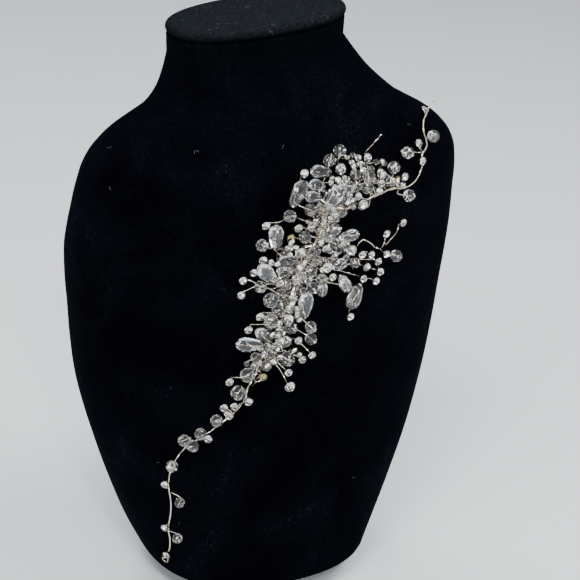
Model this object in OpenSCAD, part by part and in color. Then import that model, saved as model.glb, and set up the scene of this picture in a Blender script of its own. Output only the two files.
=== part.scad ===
// Crystal hair vine on a black velvet neck bust.
// The front of the bust faces -Y and the base of its foot lies on Z = 0.

/* [Bust] */
// Width of the body across the shoulders
body_w = 197; // [180:1:215]
// Height of the body, from the foot to the cap
body_h = 269; // [250:1:290]
// Reach of the chest forward of the middle
body_front = 65; // [56:1:74]
// Reach of the back behind the middle
body_back = 50; // [42:1:58]
// Height of the foot
foot_h = 15; // [10:1:25]
// How far the foot stands in from the body's lower edge
foot_inset = 22; // [14:1:26]
// Height of the padded cap on the neck
cap_h = 16; // [12:0.5:20]
// How far the cap's rim stands out over the neck
cap_lip = 0.75; // [0.5:0.05:1.5]
// Sideways lean of the neck's top, in degrees
neck_lean = 4.5; // [0:0.5:6]

/* [Wire] */
// Thickness of the twisted main wire
wire_d = 0.9; // [0.6:0.1:1.1]
// Thickness of a twisted twig
twig_d = 0.6; // [0.4:0.1:0.7]
// Reach of a full twig from the main wire
twig_l = 20; // [18:0.5:22]
// Inside of the eye at the lower end of the main wire
eye_d = 2.4; // [1.6:0.2:4]

/* [Crystals] */
// Small round crystal
small_d = 5; // [4:0.1:5.6]
// Middle round crystal
mid_d = 5.8; // [5:0.1:6.4]
// Large round crystal
large_d = 7; // [6.2:0.1:8]
// Length of a bud, the shortest drop
bud_l = 8; // [6.5:0.1:9]
// Width of a bud
bud_w = 6; // [5:0.1:6.6]
// Length of a petal, the middle drop
petal_l = 10.2; // [9:0.1:11.5]
// Width of a petal
petal_w = 6.4; // [5.4:0.1:7]
// Length of a leaf, the longest drop
leaf_l = 13.2; // [11.5:0.1:14.5]
// Width of a leaf
leaf_w = 7.8; // [6.6:0.1:8.6]

/* [Rhinestones] */
// Cup of a common rhinestone, across
stone_d = 4.4; // [3.8:0.1:5]
// Cup of a large rhinestone, across
star_d = 5.8; // [5:0.1:6.6]
// Depth of a cup
cup_h = 2; // [1.6:0.1:2.6]
// Wall and floor of a cup
cup_wall = 0.4; // [0.3:0.05:0.5]
// Height of a stone over the rim of its cup
crown_h = 0.7; // [0.4:0.1:1]

/* [Fit] */
// Room between the velvet and the wires
nap = 0.2; // [0.15:0.05:0.4]
// Room between a wire and what it carries
clear = 0.15; // [0.1:0.01:0.2]
// Least room between two beads
bead_gap = 0.15; // [0.1:0.01:0.3]

/* [Hidden] */
// Sections of the body: height, half width, front and back, as shares of the sizes above
SECTIONS = [
  [0.000, 0.60, 0.94, 1.06],
  [0.063, 0.68, 0.92, 1.04],
  [0.130, 0.75, 0.92, 1.01],
  [0.242, 0.85, 0.92, 0.97],
  [0.390, 0.95, 0.90, 0.99],
  [0.539, 0.99, 0.93, 0.97],
  [0.651, 1.01, 0.95, 0.89],
  [0.732, 0.99, 0.99, 0.76],
  [0.792, 0.97, 1.01, 0.62],
  [0.836, 0.93, 0.99, 0.53],
  [0.874, 0.83, 0.94, 0.46],
  [0.911, 0.65, 0.86, 0.41],
  [0.952, 0.52, 0.66, 0.49],
  [1.000, 0.44, 0.42, 0.54]
];
HIGH = 0;
WIDE = 1;
FRONT = 2;
BACK = 3;
squareness = 2.4;
turn_steps = 36;
lofts_per_section = 2;
// Height share from which the neck begins to lean
lean_from = 0.89;

// Sections of the cap: height and how far it stands out, as shares of cap_h and cap_lip
CAP = [[0, 0], [0.55, 0.2], [0.62, 0.1], [0.66, -1], [0.70, 0.3], [0.79, 1], [0.89, 0.2], [0.96, -2.5], [1, -8]];

// The main wire's route over the velvet: turn from the front, height share, stand-off
ROUTE = [
  [81, 0.880, 4], [78.5, 0.883, 0.4], [68.5, 0.881, 0], [63.5, 0.868, 0], [62, 0.853, 0],
  [60.5, 0.842, 0], [57.5, 0.833, 0], [56, 0.811, 0], [52.5, 0.790, 0], [47.5, 0.783, 0],
  [42, 0.787, 0], [36, 0.782, 0], [29, 0.776, 0], [21.5, 0.769, 0], [15, 0.757, 0],
  [9, 0.741, 0], [4.5, 0.720, 0], [0, 0.696, 0], [-3.5, 0.672, 0], [-6, 0.646, 0],
  [-8, 0.617, 0], [-10.5, 0.589, 0], [-13, 0.561, 0], [-16.5, 0.533, 0], [-20.5, 0.503, 0],
  [-23, 0.476, 0], [-25, 0.452, 0], [-27.5, 0.433, 0], [-28.5, 0.411, 0], [-32, 0.390, 0],
  [-36, 0.375, 0], [-40, 0.359, 0], [-44, 0.345, 0], [-48, 0.331, 0], [-51.5, 0.316, 0],
  [-54.5, 0.292, 0], [-56.5, 0.266, 0], [-57.5, 0.234, 0], [-57, 0.202, 0], [-57.5, 0.168, 0],
  [-59, 0.132, 0], [-59, 0.099, 0], [-60.5, 0.070, 0], [-63, 0.038, 0]
];
wire_steps = 80;
wire_sides = 6;
twig_sides = 5;

// Each twig leaves the main wire at a share of its route and carries pieces in their order.
// A piece: kind, clock angle and reach from there (share of twig_l), rise, and a drop's lie.
KIND = 0;
CLOCK = 1;
REACH = 2;
RISE = 3;
LIE = 4;
TIP = [
  [0.058, [["stone", 32, 0.41, 0]]],
  [0.084, [["mid", 328, 0.08, 0]]],
  [0.132, [["stone", 130, 0.31, 0]]],
  [0.1365, [["mid", 166, 0.61, 0]]],
  [0.150, [["stone", 170, 0.10, 0]]]
];
UPPER = [
  [0.232, [["stone", 43, 0.40, 0]]],
  [0.219, [["mid", 322, 0.24, 0]]],
  [0.2435, [["small", 85, 0.27, 0], ["mid", 77, 0.59, 0]]],
  [0.253, [["stone", 98, 0.55, 0]]],
  [0.265, [["mid", 134, 0.44, 0], ["mid", 116, 0.67, 0], ["stone", 99, 0.97, 0]]],
  [0.282, [["small", 126, 0.54, 0], ["small", 113, 0.76, 0]]],
  [0.278, [["star", 197, 0.16, 0]]],
  [0.262, [["bend", 106, 0.66, 0], ["bend", 99, 1.05, 0], ["bend", 84, 1.21, 1],
           ["bend", 72, 1.42, 2.5]]],
  [0.305, [["stone", 105, 0.74, 0], ["star", 107, 1.02, 0], ["mid", 101, 1.38, 0]]],
  [0.308, [["mid", 107, 0.66, 0]]],
  [0.315, [["leaf", 135, 0.75, 3.6, 50], ["bend", 149, 0.94, 5]]],
  [0.334, [["mid", 145, 0.53, 0], ["bud", 136, 0.96, 0, 170], ["bud", 123, 1.10, 0, 165],
           ["petal", 112, 1.30, 0, 170], ["mid", 99, 1.43, 0]]],
  [0.329, [["mid", 100, 0.20, 0]]],
  [0.353, [["mid", 134, 0.80, 0], ["leaf", 132, 1.33, 0, 60], ["stone", 117, 1.57, 0]]]
];
LEFT_SPRIG = [
  [0.377, [["mid", 156, 0.47, 0]]],
  [0.364, [["bend", 164, 0.30, 0], ["stone", 160, 0.75, 0]]],
  [0.359, [["bend", 150, 0.42, 0], ["bend", 152, 0.74, 0], ["mid", 151, 1.16, 0],
           ["bend", 163, 1.25, 0.5], ["stone", 167, 1.62, 0]]]
];
MIDDLE = [
  [0.368, [["mid", 127, 0.16, 0], ["mid", 45, 0.29, 0]]],
  [0.379, [["mid", 9, 0.30, 0], ["small", 13, 0.43, 5.5], ["petal", 5, 0.76, 0, 0]]],
  [0.388, [["stone", 345, 0.29, 0], ["star", 346, 1.01, 0]]],
  [0.393, [["small", 353, 0.04, 0]]]
];
LEFT = [
  [0.3885, [["star", 178, 0.46, 3]]],
  [0.392, [["bend", 182, 0.35, 0], ["bend", 175, 0.82, 0], ["bend", 173, 1.13, 0], ["mid", 166, 1.40, 0]]],
  [0.386, [["stone", 155, 0.75, 0]]],
  [0.409, [["petal", 174, 0.54, 0, 175], ["leaf", 141, 1.16, 0, 95]]],
  [0.423, [["bud", 186, 0.47, 0, 175], ["leaf", 175, 1.02, 3.5, 130], ["stone", 162, 1.12, 0]]],
  [0.434, [["mid", 203, 0.46, 0], ["stone", 171, 1.23, 0]]],
  [0.446, [["bend", 188, 0.55, 0], ["bend", 180, 0.98, 0], ["stone", 172, 1.43, 0]]],
  [0.450, [["bend", 193, 0.54, 0], ["bend", 180, 1.01, 0], ["stone", 185, 1.43, 0]]]
];
RIGHT = [
  [0.4195, [["mid", 312, 0.23, 0], ["bud", 238, 0.31, 0, 220]]],
  [0.400, [["small", 314, 0.25, 0], ["star", 318, 0.55, 1], ["bud", 332, 0.87, 0, 15],
           ["small", 340, 1.27, 0]]],
  [0.428, [["mid", 330, 0.50, 0], ["bud", 313, 0.80, 0, 270]]],
  [0.4168, [["stone", 326, 0.90, 0], ["petal", 326, 1.28, 0, 300]]],
  [0.432, [["mid", 302, 0.53, 0]]]
];
RIGHT_SPRIG = [
  [0.3975, [["stone", 348, 1.43, 0], ["stone", 348, 1.71, 0]]],
  [0.391, [["bend", 339, 0.64, 0.8], ["bend", 339, 1.24, 0.5], ["bend", 355, 1.22, 1.5], ["bend", 0, 1.33, 2],
           ["bend", 354, 1.63, 1.5], ["bend", 348, 2.03, 0.5], ["stone", 346, 2.19, 0], ["mid", 346, 2.51, 0]]],
  [0.373, [["fork", 341, 1.98, 0.5], ["bend", 347, 2.00, 0.5], ["stone", 354, 1.88, 0]]],
  [0.370, [["fork", 342, 2.06, 0.5], ["bend", 347, 2.19, 0.5], ["bend", 352, 2.36, 0.5],
           ["stone", 359, 2.41, 0]]],
  [0.4095, [["stone", 348, 2.05, 0]]],
  [0.412, [["stone", 344, 1.74, 0], ["stone", 343, 2.10, 0]]],
  [0.4145, [["stone", 335, 1.77, 0], ["stone", 336, 2.20, 0]]],
  [0.442, [["bend", 340, 0.22, 0.8], ["leaf", 334, 1.68, 0, 250], ["stone", 318, 1.95, 0]]]
];
LOWER = [
  [0.461, [["small", 0, 0.12, 0], ["leaf", 295, 0.28, 5.5, 85], ["bend", 280, 0.57, 11]]],
  [0.475, [["mid", 148, 0.37, 0], ["bend", 150, 0.63, 0.8], ["mid", 150, 0.98, 0]]],
  [0.488, [["large", 145, 0.68, 1]]],
  [0.495, [["mid", 159, 0.28, 0], ["stone", 181, 0.69, 0]]],
  [0.503, [["star", 64, 0.02, 0]]],
  [0.517, [["large", 139, 0.51, 3], ["stone", 178, 0.84, 0]]],
  [0.498, [["stone", 348, 0.30, 0], ["mid", 326, 0.76, 0]]],
  [0.514, [["mid", 334, 0.23, 0], ["mid", 327, 0.89, 0]]],
  [0.535, [["petal", 157, 0.34, 0, 135]]],
  [0.548, [["leaf", 156, 0.64, 2.5, 170]]],
  [0.530, [["bud", 308, 0.26, 0, 0], ["stone", 336, 0.62, 0], ["stone", 323, 1.20, 0]]],
  [0.547, [["stone", 329, 1.00, 0]]],
  [0.553, [["mid", 26, 0.04, 0], ["large", 331, 0.54, 0]]],
  [0.565, [["bend", 333, 0.35, 0], ["stone", 322, 0.82, 0]]],
  [0.568, [["bend", 333, 0.29, 0], ["bend", 321, 0.62, 0], ["star", 310, 1.13, 0]]],
  [0.565, [["small", 160, 0.24, 0]]],
  [0.580, [["small", 15, 0.14, 0]]]
];
TAIL = [
  [0.597, [["stone", 345, 0.16, 0]]],
  [0.600, [["large", 146, 0.30, 0], ["stone", 182, 0.67, 0]]],
  [0.631, [["large", 169, 0.29, 0]]],
  [0.652, [["stone", 100, 0.13, 0]]],
  [0.675, [["stone", 117, 0.20, 0]]],
  [0.684, [["stone", 135, 0.36, 0]]],
  [0.699, [["stone", 72, 0.14, 0]]],
  [0.709, [["mid", 136, 0.23, 0]]],
  [0.741, [["stone", 275, 0.09, 0]]],
  [0.753, [["mid", 102, 0.20, 0]]],
  [0.781, [["mid", 39, 0.13, 0]]],
  [0.783, [["mid", 105, 0.33, 0]]],
  [0.814, [["mid", 229, 0.10, 0]]],
  [0.860, [["stone", 116, 0.13, 0]]],
  [0.872, [["small", 330, 0.31, 0]]],
  [0.933, [["stone", 102, 0.17, 0]]],
  [0.935, [["small", 352, 0.28, 0]]],
  [0.976, [["stone", 265, 0.03, 0]]]
];
SPRAYS = [
  ["tip", TIP], ["upper", UPPER], ["left_sprig", LEFT_SPRIG], ["middle", MIDDLE],
  ["left", LEFT], ["right", RIGHT], ["right_sprig", RIGHT_SPRIG], ["lower", LOWER], ["tail", TAIL]
];

// Kinds of piece and their sizes
CRYSTALS = [["small", small_d], ["mid", mid_d], ["large", large_d]];
STONES = [["stone", stone_d], ["star", star_d]];
DROPS = [["bud", bud_l, bud_w], ["petal", petal_l, petal_w], ["leaf", leaf_l, leaf_w]];
drop_flatness = 0.8;
// Outline of a drop from its narrow to its wide end: place and half width, as shares
DROP_RINGS = [[-0.5, 0.10], [-0.34, 0.27], [-0.1, 0.42], [0.16, 0.5], [0.36, 0.40], [0.5, 0.18]];
drop_hole_place = -0.3;
facets = 8;
// A faceted crystal's corners stand out over its width across flats by this much
corner = 1.17;
// Outline of a stone from its back to its table: share of the radius
stone_back = 0.7;
stone_table = 0.55;
round_fn = 24;

// Lift of a piece's underside, so that the main wire and the twigs pass beneath
over_wire = nap + wire_d + clear;
twig_lift = nap + twig_d / 2;
hole_d = (twig_d + 2 * clear) / cos(180 / twig_sides);
wire_end = 0.4;
way_spacing = 8;

function unit(v) = v / norm(v);
function flat_on(v, n) = v - (v * n) * n;
function row_of(kind, table) = [for (r = table) if (r[0] == kind) r][0];
function is_in(kind, table) = len([for (r = table) if (r[0] == kind) 1]) > 0;
function sum_to(list, n) = n <= 0 ? 0 : list[n - 1] + sum_to(list, n - 1);

// Smooth curve through one column of the sections
function rise_between(c, i) =
  (SECTIONS[i + 1][c] - SECTIONS[i][c]) / (SECTIONS[i + 1][HIGH] - SECTIONS[i][HIGH]);
function slope_at(c, i) =
  i == 0 ? rise_between(c, 0)
  : i == len(SECTIONS) - 1 ? rise_between(c, i - 1)
  : (rise_between(c, i - 1) + rise_between(c, i)) / 2;
function section_below(s, i = 0) =
  i < len(SECTIONS) - 2 && s >= SECTIONS[i + 1][HIGH] ? section_below(s, i + 1) : i;
function share_at(c, s) =
  let (i = section_below(s), h = SECTIONS[i + 1][HIGH] - SECTIONS[i][HIGH], t = (s - SECTIONS[i][HIGH]) / h)
  (1 + 2 * t) * (1 - t) * (1 - t) * SECTIONS[i][c] + t * (1 - t) * (1 - t) * h * slope_at(c, i)
  + t * t * (3 - 2 * t) * SECTIONS[i + 1][c] + t * t * (t - 1) * h * slope_at(c, i + 1);
function height_share(z) = min(1, max(0, (z - foot_h) / body_h));
function height_of(share) = foot_h + share * body_h;

// Plan of the body at a height: half width, half depth, and how far its middle lies back
function plan_at(z) =
  let (s = height_share(z), f = body_front * share_at(FRONT, s), b = body_back * share_at(BACK, s))
  [body_w / 2 * share_at(WIDE, s), (f + b) / 2, (b - f) / 2];
function on_plan(plan, turn) =
  let (r = pow(pow(abs(sin(turn)) / plan[0], squareness) + pow(abs(cos(turn)) / plan[1], squareness),
    -1 / squareness))
  [r * sin(turn), plan[2] - r * cos(turn)];
function ring_of(plan) = [for (k = [0 : turn_steps - 1]) on_plan(plan, 360 * k / turn_steps)];
// The neck's top rises to one side: how far its rings tip, from none to all, and a tipped ring
function lean_share(s) = let (t = max(0, (s - lean_from) / (1 - lean_from))) t * t * (3 - 2 * t);
function leaned_ring(plan, z) =
  let (rise = lean_share(height_share(z)) * tan(neck_lean), aside = rise * (1 - lean_from) * body_h)
  [for (q = ring_of(plan)) [q.x - aside, q.y, z + rise * q.x]];

// Point of the velvet at a turn from the front and a height, and its ways across, up and out
function velvet(turn, z) = let (p = on_plan(plan_at(z), turn)) [p.x, p.y, z];
function axes_at(turn, z) =
  let (a = unit(velvet(turn + 0.5, z) - velvet(turn - 0.5, z)), o = unit(cross(a, velvet(turn, z + 0.5)
    - velvet(turn, z - 0.5))))
  [a, cross(o, a), o];
function turn_of(p) = atan2(p.x, plan_at(p.z)[2] - p.y);
function off_velvet(turn, z, lift) = velvet(turn, z) + lift * axes_at(turn, z)[2];
function laid_at(p, lift) = off_velvet(turn_of(p), p.z, lift);

// Turn, height share and stand-off of the main wire at a share of its route
function route_at(share) =
  let (n = len(ROUTE) - 1, u = share * n, i = min(floor(u), n - 1), t = u - i,
    a = ROUTE[max(i - 1, 0)], b = ROUTE[i], c = ROUTE[i + 1], d = ROUTE[min(i + 2, n)])
  (2 * b + (c - a) * t + (2 * a - 5 * b + 4 * c - d) * t * t + (3 * b - a - 3 * c + d) * t * t * t) / 2;
function wire_at(share) =
  let (r = route_at(share)) off_velvet(r[0], height_of(r[1]), nap + wire_d / 2 + r[2]);

// A piece set on the velvet: its row, foot, way out, lie and lift
ROW = 0;
FOOT = 1;
OUT = 2;
WAY = 3;
LIFT = 4;
function stand_of(kind) =
  is_in(kind, CRYSTALS) ? over_wire + row_of(kind, CRYSTALS)[1] / 2
  : is_in(kind, DROPS) ? over_wire + row_of(kind, DROPS)[2] * drop_flatness / 2
  : is_in(kind, STONES) ? over_wire
  : twig_lift;
function seat(row, share) =
  let (r = route_at(share), z = height_of(r[1]), root = velvet(r[0], z), ax = axes_at(r[0], z),
    q = root + row[REACH] * twig_l * (cos(row[CLOCK]) * ax[0] + sin(row[CLOCK]) * ax[1]),
    here = axes_at(turn_of(q), q.z), lie = is_undef(row[LIE]) ? 0 : row[LIE])
  [row, velvet(turn_of(q), q.z), here[2], cos(lie) * here[0] + sin(lie) * here[1],
    stand_of(row[KIND]) + row[RISE]];
function centre_of(piece) = piece[FOOT] + piece[LIFT] * piece[OUT];

// Balls that stand for a piece when the beads settle: offset from its foot, and radius
function balls_of(piece) =
  let (kind = piece[ROW][KIND])
  is_in(kind, CRYSTALS) ? [[[0, 0, 0], row_of(kind, CRYSTALS)[1] * (1 + corner) / 4]]
  : is_in(kind, STONES) ? [[piece[OUT] * (cup_h + crown_h) / 2, row_of(kind, STONES)[1] * 0.56]]
  : is_in(kind, DROPS) ? let (d = row_of(kind, DROPS))
    [for (b = DROP_RINGS) if (abs(b[0]) < 0.4) [piece[WAY] * b[0] * d[1] * 0.85, d[2] * b[1] * 0.92]]
  : [];
function blocked_lifts(piece, others) =
  [for (b = balls_of(piece)) for (o = others) let (v = piece[FOOT] + b[0] - o[0], along = piece[OUT] * v,
    room = pow(b[1] + o[1] + bead_gap, 2) - v * v + along * along)
    if (room > 0) [-along - sqrt(room), -along + sqrt(room)]];
function free_lift(lift, blocked) =
  let (tops = [for (b = blocked) if (lift > b[0] && lift < b[1] - 0.001) b[1]])
  len(tops) == 0 ? lift : free_lift(max(tops), blocked);
function settled_on(piece, others) =
  [piece[ROW], piece[FOOT], piece[OUT], piece[WAY], free_lift(piece[LIFT], blocked_lifts(piece, others))];
function balls_in_place(piece) =
  [for (b = balls_of(piece)) [piece[FOOT] + b[0] + piece[LIFT] * piece[OUT], b[1]]];
function settled(pieces, i = 0, done = [], balls = []) =
  i == len(pieces) ? done
  : let (p = settled_on(pieces[i], balls)) settled(pieces, i + 1, concat(done, [p]),
    concat(balls, balls_in_place(p)));

// All pieces of a spray after settling, and those of one of its twigs
function spray_rows(name) = [for (s = SPRAYS) if (s[0] == name) s[1]][0];
function spray_pieces(name) =
  settled([for (t = spray_rows(name)) for (row = t[1]) seat(row, t[0])]);
function twig_pieces(name, pieces, k) =
  let (counts = [for (t = spray_rows(name)) len(t[1])], first = sum_to(counts, k))
  [for (i = [first : first + counts[k] - 1]) pieces[i]];

// Where the wire holds a piece
function hold_of(piece) =
  let (kind = piece[ROW][KIND], c = centre_of(piece))
  is_in(kind, STONES) ? c - piece[OUT] * (clear + twig_d / 2)
  : is_in(kind, DROPS) ? c + piece[WAY] * drop_hole_place * row_of(kind, DROPS)[1]
  : c;
function half_size(piece) =
  let (kind = piece[ROW][KIND])
  is_in(kind, CRYSTALS) ? row_of(kind, CRYSTALS)[1] / 2
  : is_in(kind, STONES) ? row_of(kind, STONES)[1] / 2
  : is_in(kind, DROPS) ? row_of(kind, DROPS)[2] * 0.35
  : 0;
// Way round a cup's rim towards a point, where that point lies well outside the cup
function rim_way(piece, towards) =
  let (h = hold_of(piece), v = flat_on(towards - h, piece[OUT]), r = half_size(piece) + 2 * clear)
  is_in(piece[ROW][KIND], STONES) && norm(v) > r + twig_d ? [h + unit(v) * r] : [];
// Way out from the main wire to the side on which a point lies, and how far out that point is
function side_at(share, p) =
  let (r = route_at(share), o = axes_at(r[0], height_of(r[1]))[2],
    s = unit(cross(o, wire_at(share + 0.002) - wire_at(share - 0.002))), far = s * (p - wire_at(share)))
  [far < 0 ? -s : s, abs(far), o];
function start_of(share, pieces) =
  let (side = side_at(share, hold_of(pieces[0])))
  pieces[0][ROW][KIND] == "fork" ? hold_of(pieces[0])
  : wire_at(share) + side[0] * (wire_d / 2 + twig_d / 2 + clear) - side[2] * (wire_d - twig_d) / 2;
// A lone cup right over the main wire is seated on it and needs no twig
function needs_twig(share, pieces) =
  len(pieces) > 1 || !is_in(pieces[0][ROW][KIND], STONES)
    || side_at(share, hold_of(pieces[0]))[1] > half_size(pieces[0]) + wire_d / 2;
// Points through a piece; the last drop of a twig is threaded from its narrow to its wide end
function through(piece, last) =
  let (kind = piece[ROW][KIND], c = centre_of(piece))
  last && is_in(kind, DROPS)
    ? let (l = row_of(kind, DROPS)[1]) [c - piece[WAY] * (l / 2 + wire_end), c + piece[WAY] * (l / 2 + wire_end)]
    : [hold_of(piece)];
// Points on the way to a piece: along the velvet and up under a crystal or drop, or from bead to bead
function lifted_ways(a, b, from_lift, to_lift) =
  let (n = floor(norm(b - a) / way_spacing))
  [for (k = [1 : 1 : n]) let (t = k / (n + 1)) laid_at(a + (b - a) * t, from_lift + (to_lift - from_lift) * t)];
function way_to(piece, from, from_lift, first, last) =
  let (kind = piece[ROW][KIND], entry = through(piece, last)[0], back = flat_on(from - entry, piece[OUT]),
    bead = is_in(kind, CRYSTALS) || is_in(kind, DROPS),
    climbs = bead && norm(back) > (first ? half_size(piece) + twig_d : 1.5 * way_spacing),
    foot = laid_at(entry + unit(back) * half_size(piece) * 0.6, twig_lift))
  climbs ? concat(lifted_ways(from, foot, twig_lift, twig_lift), [foot])
    : bead ? [] : lifted_ways(from, entry, first ? twig_lift : from_lift, kind == "bend" ? piece[LIFT] : twig_lift);
function twig_route(share, pieces) =
  let (start = start_of(share, pieces), n = len(pieces), forked = pieces[0][ROW][KIND] == "fork")
  concat([start], [for (i = [forked ? 1 : 0 : 1 : n - 1]) each
    let (from = i == 0 ? start : hold_of(pieces[i - 1]), from_lift = i == 0 ? twig_lift : pieces[i - 1][LIFT])
    concat(way_to(pieces[i], from, from_lift, i == 0, i == n - 1), rim_way(pieces[i], from),
      through(pieces[i], i == n - 1), i < n - 1 ? rim_way(pieces[i], hold_of(pieces[i + 1])) : [])]);
// The twig's end pokes through the last crystal
function with_end(route, last) =
  let (n = len(route), way = unit(route[n - 1] - route[n - 2]))
  is_in(last[ROW][KIND], CRYSTALS)
    ? concat(route, [route[n - 1] + way * (half_size(last) * corner + wire_end)]) : route;
function twig_points(name, pieces, k) =
  let (mine = twig_pieces(name, pieces, k), share = spray_rows(name)[k][0])
  with_end(twig_route(share, mine), mine[len(mine) - 1]);

// Round wire swept through points; each ring is carried on from the one before it
function way_at(p, i) =
  unit((i < len(p) - 1 ? unit(p[i + 1] - p[i]) : [0, 0, 0]) + (i > 0 ? unit(p[i] - p[i - 1]) : [0, 0, 0]));
function carried(p, i, u) =
  i == len(p) ? [] : let (v = unit(flat_on(u, way_at(p, i)))) concat([v], carried(p, i + 1, v));
module wire(points, d, sides, from = 0, to = 10000) {
  first = way_at(points, 0);
  ups = carried(points, 0, abs(first.z) < 0.8 ? [0, 0, 1] : [1, 0, 0]);
  loft([for (i = [from : min(to, len(points) - 1)]) let (u = ups[i], w = cross(way_at(points, i), u))
    [for (k = [0 : sides - 1]) points[i] + d / 2 * (cos(360 * k / sides) * u + sin(360 * k / sides) * w)]]);
}

// Stack of equal rings closed by flat ends
module loft(rings) {
  n = len(rings);
  sides = len(rings[0]);
  walls = [for (i = [0 : n - 2]) for (k = [0 : sides - 1]) let (m = (k + 1) % sides)
    [i * sides + k, (i + 1) * sides + k, (i + 1) * sides + m, i * sides + m]];
  polyhedron([for (r = rings) each r], concat([[for (k = [0 : sides - 1]) k]],
    [[for (k = [sides - 1 : -1 : 0]) (n - 1) * sides + k]], walls));
}

// Sets a shape at a point with its X along a way and its Z pointing out
module set_at(p, x, z) {
  y = cross(z, x);
  multmatrix([[x.x, y.x, z.x, p.x], [x.y, y.y, z.y, p.y], [x.z, y.z, z.z, p.z]]) children();
}

module bust_body() color("#15141a") {
  last = (len(SECTIONS) - 1) * lofts_per_section;
  shares = [for (i = [0 : last]) let (k = floor(i / lofts_per_section), t = i / lofts_per_section - k)
    k == len(SECTIONS) - 1 ? 1 : SECTIONS[k][HIGH] * (1 - t) + SECTIONS[k + 1][HIGH] * t];
  loft([for (s = shares) leaned_ring(plan_at(height_of(s)), height_of(s))]);
}

module neck_cap() color("#1d1c22") {
  neck = plan_at(height_of(1));
  loft([for (c = CAP) let (out = cap_lip * c[1])
    leaned_ring([neck[0] + out, neck[1] + out, neck[2]], height_of(1) + cap_h * c[0])]);
}

module bust_foot() color("#121116") {
  edge = plan_at(foot_h);
  linear_extrude(foot_h) polygon(ring_of([edge[0] - foot_inset, edge[1] - foot_inset, edge[2]]));
}

module main_wire() color("#d8d2c8") {
  run = [for (i = [0 : wire_steps]) wire_at(i / wire_steps)];
  end = run[wire_steps];
  along = unit(end - run[wire_steps - 1]);
  out = axes_at(turn_of(end), end.z)[2];
  side = unit(cross(along, out));
  r = (eye_d + wire_d) / 2;
  open_angle = acos(1 - (wire_d + 2 * clear) / r);
  eye_steps = 10;
  eye = [for (k = [1 : eye_steps]) let (a = (360 - open_angle) * k / eye_steps)
    end + side * r * (1 - cos(a)) + along * r * sin(a)];
  wire(concat(run, eye), wire_d, wire_sides);
}

// How near a piece's middle its twig's points lie
function hole_window(piece) =
  let (kind = piece[ROW][KIND]) 0.01 + (is_in(kind, DROPS) ? row_of(kind, DROPS)[1] / 2 + wire_end : 0);
// The hole that a twig takes through a piece
module twig_hole(piece, points) {
  near = [for (k = [0 : len(points) - 1]) if (norm(points[k] - centre_of(piece)) < hole_window(piece)) k];
  wire(points, hole_d, twig_sides, max(near[0] - 1, 0), near[len(near) - 1] + 1);
}

// Faceted round bead: three eight-sided bars crossing
module crystal(d) {
  bar = d / cos(180 / facets);
  intersection() {
    rotate([0, 0, 180 / facets]) cylinder(h = d, d = bar, center = true, $fn = facets);
    rotate([90, 0, 0]) rotate([0, 0, 180 / facets]) cylinder(h = 2 * d, d = bar, center = true, $fn = facets);
    rotate([0, 90, 0]) rotate([0, 0, 180 / facets]) cylinder(h = 2 * d, d = bar, center = true, $fn = facets);
  }
}

// Faceted drop lying along X, with its wide end forward
module drop(l, w) {
  loft([for (r = DROP_RINGS) [for (k = [0 : facets - 1]) let (a = 360 * (k + 0.5) / facets)
    [r[0] * l, r[1] * w * cos(a), r[1] * w * drop_flatness * sin(a)]]]);
}

module cup(d) {
  difference() {
    cylinder(h = cup_h, d = d, $fn = round_fn);
    translate([0, 0, cup_wall]) cylinder(h = cup_h, d = d - 2 * cup_wall, $fn = round_fn);
  }
}

// Faceted stone with a flat table, seated in its cup
module cut_stone(d) {
  r = d / 2 - cup_wall - clear;
  rings = [[cup_wall + clear, stone_back], [cup_h, 1], [cup_h + crown_h, stone_table]];
  loft([for (c = rings) [for (k = [0 : facets - 1]) let (a = 360 * k / facets)
    [r * c[1] * cos(a), r * c[1] * sin(a), c[0]]]]);
}

module spray_crystals(name) color("#dfe6ea") {
  pieces = spray_pieces(name);
  for (k = [0 : len(spray_rows(name)) - 1]) {
    points = twig_points(name, pieces, k);
    for (p = twig_pieces(name, pieces, k)) if (is_in(p[ROW][KIND], CRYSTALS)) difference() {
      set_at(centre_of(p), p[WAY], p[OUT]) crystal(row_of(p[ROW][KIND], CRYSTALS)[1]);
      twig_hole(p, points);
    }
  }
}

module spray_stones(name) color("#f2f4f6")
  for (p = spray_pieces(name)) if (is_in(p[ROW][KIND], STONES))
    set_at(centre_of(p), p[WAY], p[OUT]) cut_stone(row_of(p[ROW][KIND], STONES)[1]);

module spray_cups(name) color("#c9c6c0")
  for (p = spray_pieces(name)) if (is_in(p[ROW][KIND], STONES))
    set_at(centre_of(p), p[WAY], p[OUT]) cup(row_of(p[ROW][KIND], STONES)[1]);

module spray_twigs(name) color("#d8d2c8") {
  pieces = spray_pieces(name);
  for (k = [0 : len(spray_rows(name)) - 1])
    if (needs_twig(spray_rows(name)[k][0], twig_pieces(name, pieces, k)))
      wire(twig_points(name, pieces, k), twig_d, twig_sides);
}

// One drop of a spray, counted in the order of its twigs
module spray_drop(name, wanted) color("#e4eaee") {
  pieces = spray_pieces(name);
  flags = [for (p = pieces) is_in(p[ROW][KIND], DROPS) ? 1 : 0];
  counts = [for (t = spray_rows(name)) len(t[1])];
  for (k = [0 : len(counts) - 1]) for (i = [0 : counts[k] - 1]) {
    n = sum_to(counts, k) + i;
    p = pieces[n];
    if (flags[n] == 1 && sum_to(flags, n) == wanted - 1) difference() {
      set_at(centre_of(p), p[WAY], p[OUT]) drop(row_of(p[ROW][KIND], DROPS)[1], row_of(p[ROW][KIND], DROPS)[2]);
      twig_hole(p, twig_points(name, pieces, k));
    }
  }
}

function drop_count(name) = len([for (t = spray_rows(name)) for (r = t[1]) if (is_in(r[0], DROPS)) 1]);

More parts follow.
